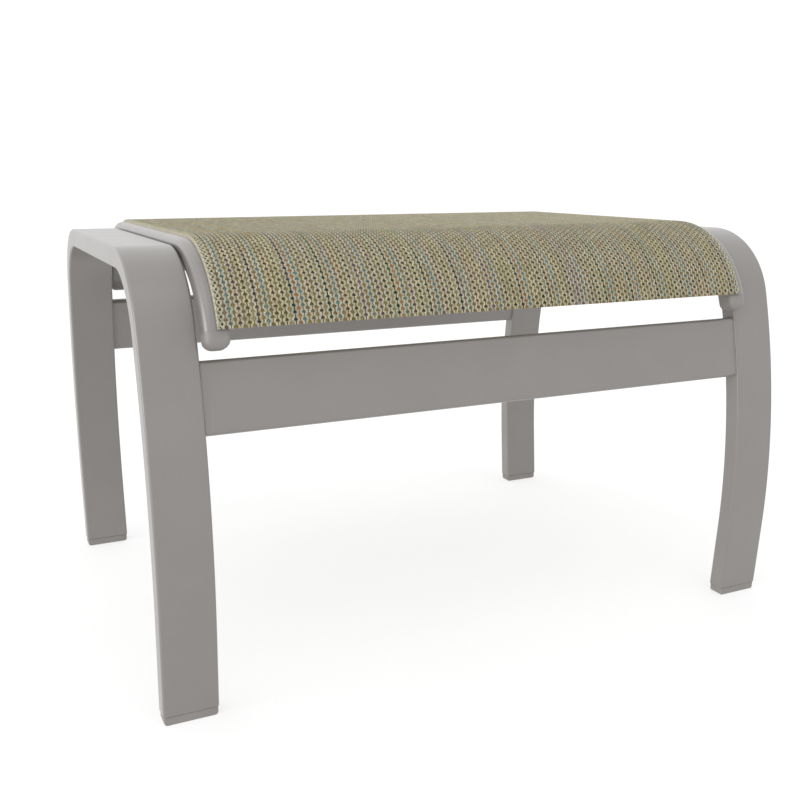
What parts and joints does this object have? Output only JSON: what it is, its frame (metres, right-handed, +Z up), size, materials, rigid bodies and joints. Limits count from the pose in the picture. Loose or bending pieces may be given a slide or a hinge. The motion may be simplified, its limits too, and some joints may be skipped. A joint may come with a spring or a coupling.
{
  "type": "outdoor ottoman footstool",
  "caption": "Outdoor sling ottoman: woven sling stretched between bent rails, carried by inverted-U side frames of flat tube with front and rear stretchers.",
  "frame": {"origin": "on the ground under the middle of the footstool", "axes": "+X from the left side frame to the right one, +Y from front to rear, +Z up"},
  "size_m": [0.6356, 0.4628, 0.3897],
  "materials": {
    "frame_coat": "taupe-grey powder coat on aluminium, satin with a fine grain",
    "moulded_plastic": "moulded nylon in the frame's grey, matt",
    "sling_weave": "open basket weave of vinyl-coated yarn in tan, khaki and cream with dark, teal, orange and lilac stripes",
    "hem_rod": "extruded black vinyl rod",
    "zinc_steel": "zinc-plated steel"
  },
  "bodies": {
    "root": {"left_side_frame": "frame_coat", "right_side_frame": "frame_coat", "front_stretcher": "frame_coat", "rear_stretcher": "frame_coat", "left_sling_rail": "frame_coat", "right_sling_rail": "frame_coat", "front_left_rail_cap": "moulded_plastic", "front_right_rail_cap": "moulded_plastic", "rear_left_rail_cap": "moulded_plastic", "rear_right_rail_cap": "moulded_plastic", "sling": "sling_weave", "left_hem_spline": "hem_rod", "right_hem_spline": "hem_rod", "front_left_glide": "moulded_plastic", "front_right_glide": "moulded_plastic", "rear_left_glide": "moulded_plastic", "rear_right_glide": "moulded_plastic", "front_spreader_bar": "frame_coat", "rear_spreader_bar": "frame_coat", "front_left_spreader_plate": "frame_coat", "front_right_spreader_plate": "frame_coat", "rear_left_spreader_plate": "frame_coat", "rear_right_spreader_plate": "frame_coat", "left_rail_screw_1": "zinc_steel", "left_rail_screw_2": "zinc_steel", "left_rail_screw_3": "zinc_steel", "left_rail_screw_4": "zinc_steel", "right_rail_screw_1": "zinc_steel", "right_rail_screw_2": "zinc_steel", "right_rail_screw_3": "zinc_steel", "right_rail_screw_4": "zinc_steel", "left_rivet_nut_1": "zinc_steel", "left_rivet_nut_2": "zinc_steel", "left_rivet_nut_3": "zinc_steel", "left_rivet_nut_4": "zinc_steel", "right_rivet_nut_1": "zinc_steel", "right_rivet_nut_2": "zinc_steel", "right_rivet_nut_3": "zinc_steel", "right_rivet_nut_4": "zinc_steel"}
  },
  "joints": []
}
